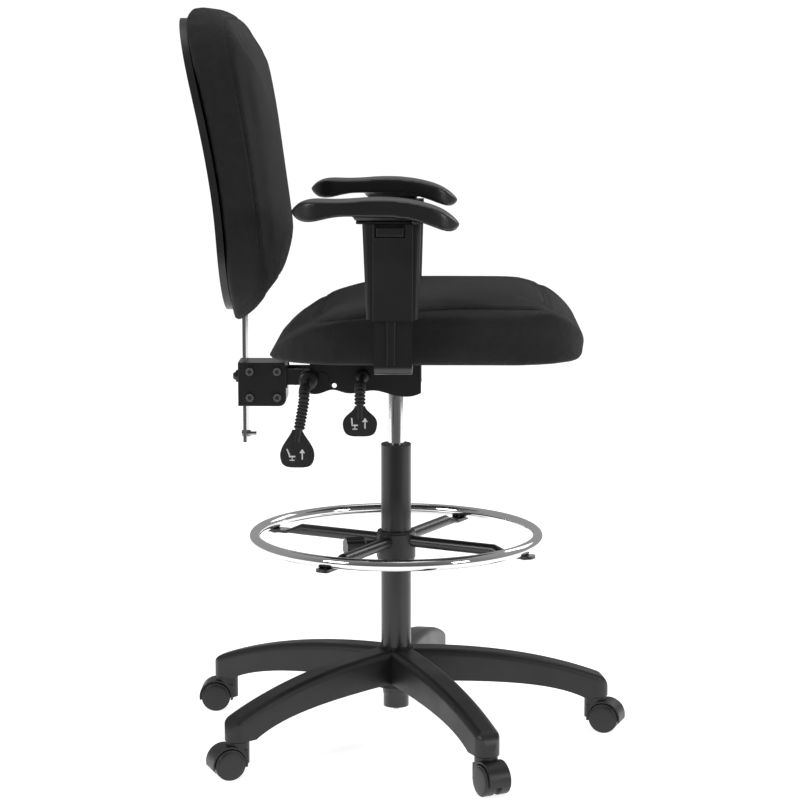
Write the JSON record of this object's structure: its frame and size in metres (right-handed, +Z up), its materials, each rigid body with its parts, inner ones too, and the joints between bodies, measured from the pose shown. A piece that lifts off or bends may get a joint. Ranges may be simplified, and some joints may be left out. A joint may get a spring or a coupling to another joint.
{
  "type": "drafting chair",
  "caption": "Drafting chair with a padded seat and back, adjustable arms, gas lift, foot ring, release levers and a star base on twin-wheel casters.",
  "frame": {"origin": "on the floor, on the axis of the gas lift", "axes": "+X is where the sitter faces, +Y is the sitter's left, +Z is up"},
  "size_m": [0.736, 0.7439, 1.2202],
  "materials": {
    "black_nylon": "satin moulded nylon",
    "wheel_plastic": "satin moulded nylon",
    "bright_steel": "bright zinc plate",
    "black_steel": "semi-gloss black powder coat",
    "bush_plastic": "plain black acetal",
    "chrome": "polished chrome",
    "moulded_plastic": "fine-textured moulded plastic",
    "boot_rubber": "dull rubber",
    "screw_steel": "zinc-plated steel",
    "plywood": "bare birch ply",
    "black_fabric": "woven polyester upholstery",
    "arm_skin": "self-skinned soft urethane"
  },
  "bodies": {
    "base": {"five_star_base": "black_nylon", "column_outer_tube": "black_steel", "column_guide_bush": "bush_plastic", "column_thrust_bearing": "bright_steel"},
    "caster_1": {"caster_hood_1": "black_nylon", "caster_stem_1": "bright_steel"},
    "caster_wheels_1": {"caster_wheelset_1": "wheel_plastic"},
    "caster_2": {"caster_hood_2": "black_nylon", "caster_stem_2": "bright_steel"},
    "caster_wheels_2": {"caster_wheelset_2": "wheel_plastic"},
    "caster_3": {"caster_hood_3": "black_nylon", "caster_stem_3": "bright_steel"},
    "caster_wheels_3": {"caster_wheelset_3": "wheel_plastic"},
    "caster_4": {"caster_hood_4": "black_nylon", "caster_stem_4": "bright_steel"},
    "caster_wheels_4": {"caster_wheelset_4": "wheel_plastic"},
    "caster_5": {"caster_hood_5": "black_nylon", "caster_stem_5": "bright_steel"},
    "caster_wheels_5": {"caster_wheelset_5": "wheel_plastic"},
    "footring_sleeve": {"footring_sleeve": "bush_plastic"},
    "footring": {"footring_hub": "moulded_plastic", "footring_spokes": "black_steel", "footring_ring": "chrome", "footring_screws": "screw_steel"},
    "footring_knob": {"footring_lock_knob": "moulded_plastic"},
    "lift_rod": {"column_piston_rod": "bright_steel", "column_retaining_clip": "bright_steel"},
    "seat_frame": {"column_pressure_tube": "chrome", "mechanism_plate": "black_steel", "mechanism_cone": "black_steel", "seat_bolts": "screw_steel", "seat_pan": "plywood", "seat_cushion": "black_fabric", "recline_pin": "black_steel"},
    "valve_pin": {"column_valve_pin": "bright_steel"},
    "height_lever": {"height_lever_rod": "black_steel", "height_lever_boot": "boot_rubber", "height_lever_paddle": "moulded_plastic"},
    "back_lever": {"back_lever_rod": "black_steel", "back_lever_boot": "boot_rubber", "back_lever_paddle": "moulded_plastic"},
    "back_bracket": {"back_bracket": "black_steel", "back_clamp_block": "black_steel", "back_clamp_screws": "screw_steel"},
    "back_knob": {"back_height_knob": "moulded_plastic"},
    "backrest": {"back_bar": "bright_steel", "back_bar_bolts": "screw_steel", "back_panel": "plywood", "back_shell": "moulded_plastic", "back_cushion": "black_fabric"},
    "arm_bracket_right": {"arm_bracket_right": "black_steel"},
    "arm_right": {"arm_sleeve_right": "moulded_plastic", "arm_pad_plate_right": "black_steel", "arm_pad_right": "arm_skin"},
    "arm_latch_right": {"arm_latch_right": "moulded_plastic"},
    "arm_bracket_left": {"arm_bracket_left": "black_steel"},
    "arm_left": {"arm_sleeve_left": "moulded_plastic", "arm_pad_plate_left": "black_steel", "arm_pad_left": "arm_skin"},
    "arm_latch_left": {"arm_latch_left": "moulded_plastic"}
  },
  "joints": [
    {"name": "caster_1_swivel", "type": "hinge", "parent": "base", "child": "caster_1", "pos_m": [0.33786, 0.04388, 0.06], "axis": [0, 0, 1], "continuous": true},
    {"name": "caster_1_roll", "type": "hinge", "parent": "caster_1", "child": "caster_wheels_1", "pos_m": [0.35583, 0.03769, 0.025], "axis": [0.3256, 0.9455, 0], "continuous": true},
    {"name": "caster_2_swivel", "type": "hinge", "parent": "base", "child": "caster_2", "pos_m": [0.06267, 0.33489, 0.06], "axis": [0, 0, 1], "continuous": true},
    {"name": "caster_2_roll", "type": "hinge", "parent": "caster_2", "child": "caster_wheels_2", "pos_m": [0.05937, 0.3536, 0.025], "axis": [-0.9848, -0.1736, 0], "continuous": true},
    {"name": "caster_3_swivel", "type": "hinge", "parent": "base", "child": "caster_3", "pos_m": [-0.29913, 0.16309, 0.06], "axis": [0, 0, 1], "continuous": true},
    {"name": "caster_3_roll", "type": "hinge", "parent": "caster_3", "child": "caster_wheels_3", "pos_m": [-0.31813, 0.16309, 0.025], "axis": [0, -1, 0], "continuous": true},
    {"name": "caster_4_swivel", "type": "hinge", "parent": "base", "child": "caster_4", "pos_m": [-0.24754, -0.23409, 0.06], "axis": [0, 0, 1], "continuous": true},
    {"name": "caster_4_roll", "type": "hinge", "parent": "caster_4", "child": "caster_wheels_4", "pos_m": [-0.2649, -0.24182, 0.025], "axis": [0.4067, -0.9135, 0], "continuous": true},
    {"name": "caster_5_swivel", "type": "hinge", "parent": "base", "child": "caster_5", "pos_m": [0.14614, -0.30777, 0.06], "axis": [0, 0, 1], "continuous": true},
    {"name": "caster_5_roll", "type": "hinge", "parent": "caster_5", "child": "caster_wheels_5", "pos_m": [0.15506, -0.32454, 0.025], "axis": [0.8829, 0.4695, 0], "continuous": true},
    {"name": "footring_height", "type": "slide", "parent": "base", "child": "footring_sleeve", "axis": [0, 0, 1], "range_m": [-0.12, 0.12]},
    {"name": "footring_turn", "type": "hinge", "parent": "footring_sleeve", "child": "footring", "pos_m": [0, 0, 0.329], "axis": [0, 0, 1], "continuous": true},
    {"name": "footring_knob_turn", "type": "hinge", "parent": "footring", "child": "footring_knob", "pos_m": [0, 0, 0.3285], "axis": [-0.9511, -0.309, 0], "range_deg": [-180, 180]},
    {"name": "seat_swivel", "type": "hinge", "parent": "base", "child": "lift_rod", "pos_m": [0, 0, 0.06], "axis": [0, 0, 1], "continuous": true},
    {"name": "seat_height", "type": "slide", "parent": "lift_rod", "child": "seat_frame", "axis": [0, 0, 1], "range_m": [-0.085, 0.13]},
    {"name": "height_lever_lift", "type": "hinge", "parent": "seat_frame", "child": "height_lever", "pos_m": [-0.053, -0.07, 0.622], "axis": [-1, 0, 0], "range_deg": [0, 8], "stiffness_Nm_per_rad": 2, "springref_deg": -14.32},
    {"name": "valve_pin_press", "type": "slide", "parent": "seat_frame", "child": "valve_pin", "axis": [0, 0, -1], "range_m": [0, 0.003]},
    {"name": "back_lever_lift", "type": "hinge", "parent": "seat_frame", "child": "back_lever", "pos_m": [-0.141, -0.07, 0.616], "axis": [-1, 0, 0], "range_deg": [0, 8], "stiffness_Nm_per_rad": 2, "springref_deg": -17.19},
    {"name": "back_recline", "type": "hinge", "parent": "seat_frame", "child": "back_bracket", "pos_m": [-0.118, 0, 0.618], "axis": [0, -1, 0], "range_deg": [-5, 15]},
    {"name": "back_height", "type": "slide", "parent": "back_bracket", "child": "backrest", "axis": [0, 0, 1], "range_m": [-0.05, 0.043]},
    {"name": "back_knob_turn", "type": "hinge", "parent": "back_bracket", "child": "back_knob", "pos_m": [-0.262, 0, 0.612], "axis": [-1, 0, 0], "range_deg": [-180, 180]},
    {"name": "arm_width_right", "type": "slide", "parent": "seat_frame", "child": "arm_bracket_right", "axis": [0, -1, 0], "range_m": [0, 0.025]},
    {"name": "arm_height_right", "type": "slide", "parent": "arm_bracket_right", "child": "arm_right", "axis": [0, 0, 1], "range_m": [-0.06, 0.01]},
    {"name": "arm_latch_right_press", "type": "slide", "parent": "arm_right", "child": "arm_latch_right", "axis": [0, 1, 0], "range_m": [0, 0.005], "stiffness_N_per_m": 400, "springref_m": -0.003},
    {"name": "arm_width_left", "type": "slide", "parent": "seat_frame", "child": "arm_bracket_left", "axis": [0, 1, 0], "range_m": [0, 0.025]},
    {"name": "arm_height_left", "type": "slide", "parent": "arm_bracket_left", "child": "arm_left", "axis": [0, 0, 1], "range_m": [-0.06, 0.01]},
    {"name": "arm_latch_left_press", "type": "slide", "parent": "arm_left", "child": "arm_latch_left", "axis": [0, -1, 0], "range_m": [0, 0.005], "stiffness_N_per_m": 400, "springref_m": -0.003}
  ],
  "couplings": [
    {"joint": "valve_pin_press", "follows": "height_lever_lift", "m_per_rad": 0.018}
  ]
}
